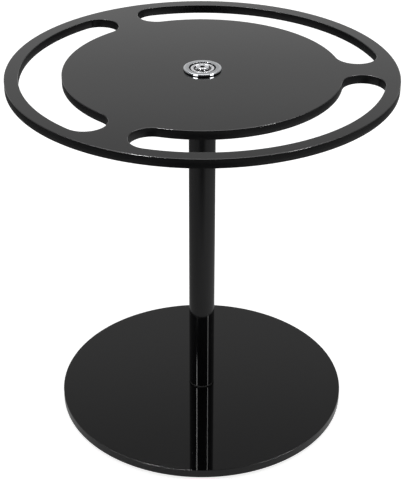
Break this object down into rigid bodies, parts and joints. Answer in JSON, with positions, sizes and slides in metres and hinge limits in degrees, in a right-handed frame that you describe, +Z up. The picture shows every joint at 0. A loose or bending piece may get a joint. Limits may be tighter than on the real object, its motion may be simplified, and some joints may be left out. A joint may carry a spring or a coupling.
{
  "type": "turntable display stand",
  "caption": "Round slotted display turntable on a slim column and round base, turning on a ball bearing in a chrome hub.",
  "frame": {"origin": "on the spin axis, at the surface that the rubber feet rest on", "axes": "+Z up along the spin axis; one rib of the slotted plate lies along +X; the stand is the same seen from +Y and -Y"},
  "size_m": [0.254, 0.254, 0.2583],
  "materials": {
    "acrylic": "black cast acrylic, mirror gloss, flame-polished edges",
    "paint": "gloss black enamel on steel tube",
    "chrome": "polished chrome plate",
    "bearing_steel": "ground bearing steel",
    "zinc": "zinc-plated steel",
    "rubber": "black rubber, matt",
    "nylon": "natural nylon"
  },
  "bodies": {
    "stand": {"rubber_foot_1": "rubber", "rubber_foot_2": "rubber", "rubber_foot_3": "rubber", "rubber_foot_4": "rubber", "base_plate": "acrylic", "base_screw": "zinc", "foot_gasket": "rubber", "column_tube": "paint", "column_foot_plug": "zinc", "column_head_plug": "zinc", "bearing_inner_race": "bearing_steel", "axle_spacer": "zinc", "axle_screw": "chrome"},
    "turntable": {"turntable_plate": "acrylic", "bearing_hub": "chrome", "bearing_outer_race": "bearing_steel", "bearing_shield_lower": "bearing_steel", "bearing_shield_upper": "bearing_steel", "hub_washer": "nylon", "hub_nut": "chrome"},
    "ball_cage": {"bearing_cage": "nylon", "bearing_ball_1": "bearing_steel", "bearing_ball_2": "bearing_steel", "bearing_ball_3": "bearing_steel", "bearing_ball_4": "bearing_steel", "bearing_ball_5": "bearing_steel", "bearing_ball_6": "bearing_steel", "bearing_ball_7": "bearing_steel"}
  },
  "joints": [
    {"name": "turntable_spin", "type": "hinge", "parent": "stand", "child": "turntable", "pos_m": [0, 0, 0.2548], "axis": [0, 0, 1], "continuous": true},
    {"name": "cage_spin", "type": "hinge", "parent": "stand", "child": "ball_cage", "pos_m": [0, 0, 0.2548], "axis": [0, 0, 1], "continuous": true}
  ],
  "couplings": [
    {"joint": "cage_spin", "follows": "turntable_spin", "ratio": 0.6429}
  ]
}
